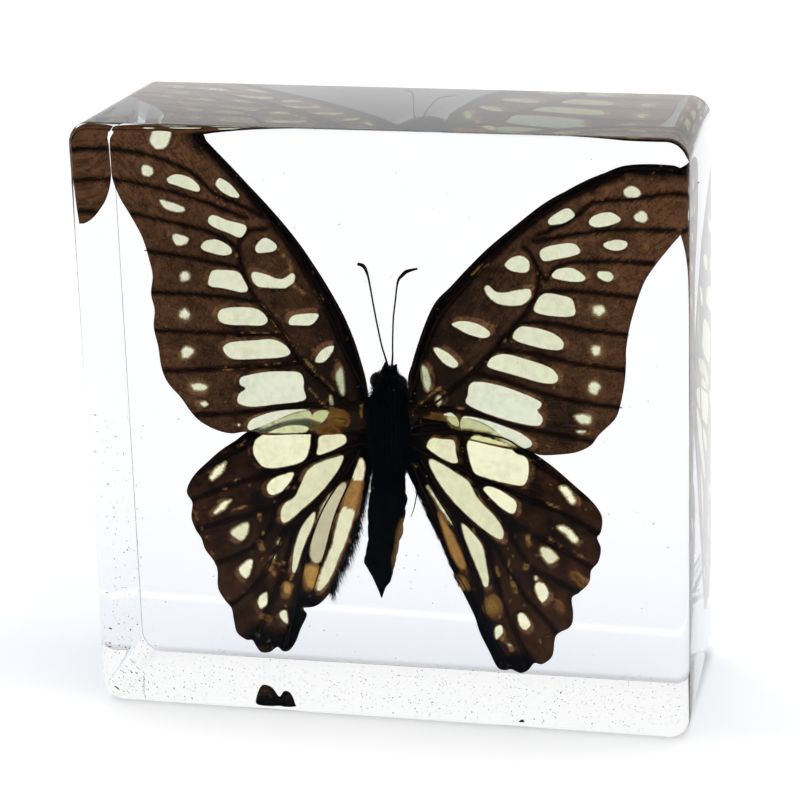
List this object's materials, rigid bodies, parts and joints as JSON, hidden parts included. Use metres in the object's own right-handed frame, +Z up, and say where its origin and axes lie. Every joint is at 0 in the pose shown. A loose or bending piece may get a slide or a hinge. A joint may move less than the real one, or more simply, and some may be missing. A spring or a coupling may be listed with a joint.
{
  "type": "insect in resin block",
  "caption": "Clear cast resin block, upright and slightly tapered to the back, holding a spread dark butterfly with pale green windows.",
  "frame": {"origin": "middle of the block's footprint box, on the surface it stands on", "axes": "+Z up, front face towards -Y with the butterfly's upper side facing it, +X to the right seen from the front"},
  "size_m": [0.075, 0.028, 0.0753],
  "materials": {
    "clear_resin": "polished clear casting resin",
    "wing_scales": "dark brown scaled wing membrane with pale green windows",
    "insect_body": "black body shell under fine hair",
    "dust_and_bubbles": "brown dust specks and small bubbles in the casting"
  },
  "bodies": {
    "root": {"resin_block": "clear_resin"}
  },
  "joints": []
}
